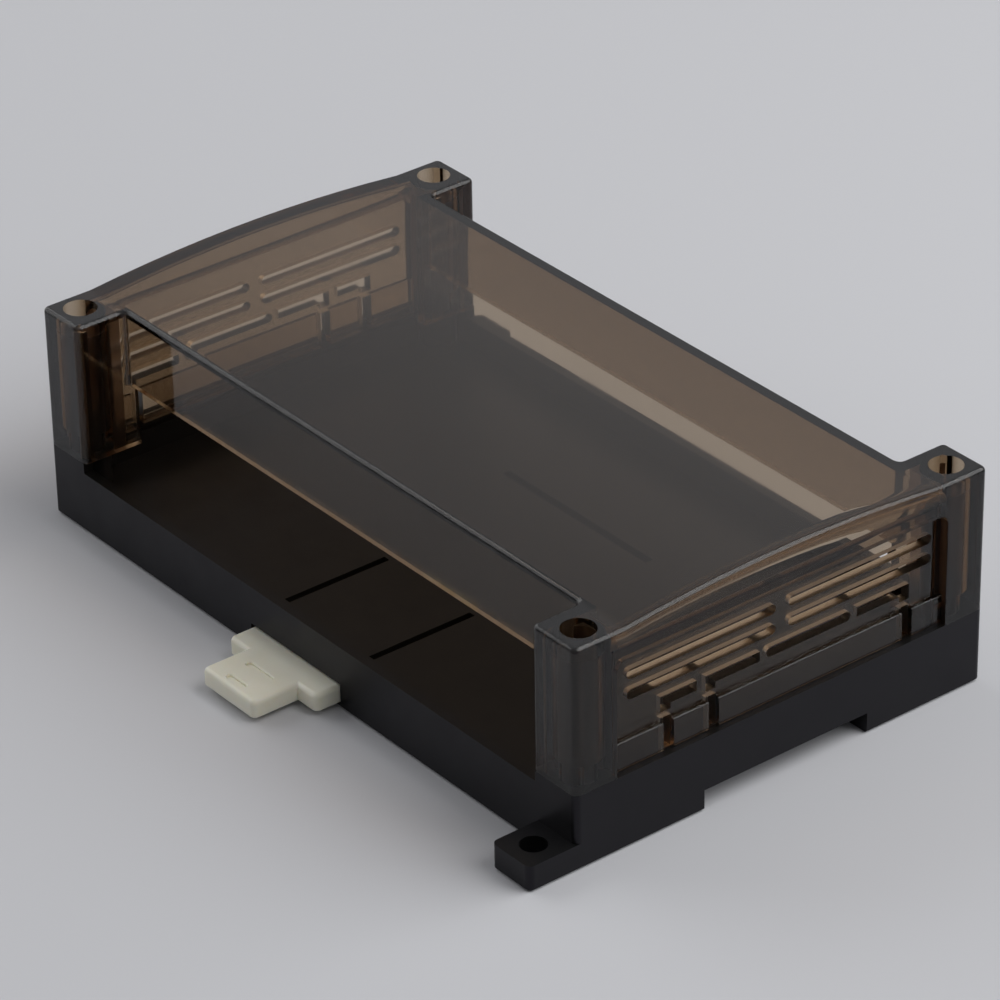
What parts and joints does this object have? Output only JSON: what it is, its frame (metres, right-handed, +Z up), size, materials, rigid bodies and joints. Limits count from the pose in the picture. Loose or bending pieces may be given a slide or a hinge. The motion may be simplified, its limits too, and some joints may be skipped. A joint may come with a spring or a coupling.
{
  "type": "rail-mounted project box",
  "caption": "Low vented electronics enclosure with a smoke-tinted clear screwed cover, a black base, a rail channel with a sliding latch and two fixing ears.",
  "frame": {"origin": "middle of the base's underside, which is the middle of the two mounting ear holes", "axes": "+X along the box and the rail, +Y across it away from the latch's tab, +Z up from the base to the cover"},
  "size_m": [0.15, 0.1143, 0.0443],
  "materials": {
    "base_plastic": "satin moulded black plastic",
    "cover_plastic": "glossy smoke-tinted clear plastic",
    "latch_plastic": "ivory white moulded nylon",
    "screw_steel": "black coated steel"
  },
  "bodies": {
    "box": {"base": "base_plastic", "cover": "cover_plastic", "cover_screws": "screw_steel"},
    "latch": {"rail_latch": "latch_plastic"}
  },
  "joints": [
    {"name": "latch_slide", "type": "slide", "parent": "box", "child": "latch", "axis": [0, -1, 0], "range_m": [0, 0.004]}
  ]
}
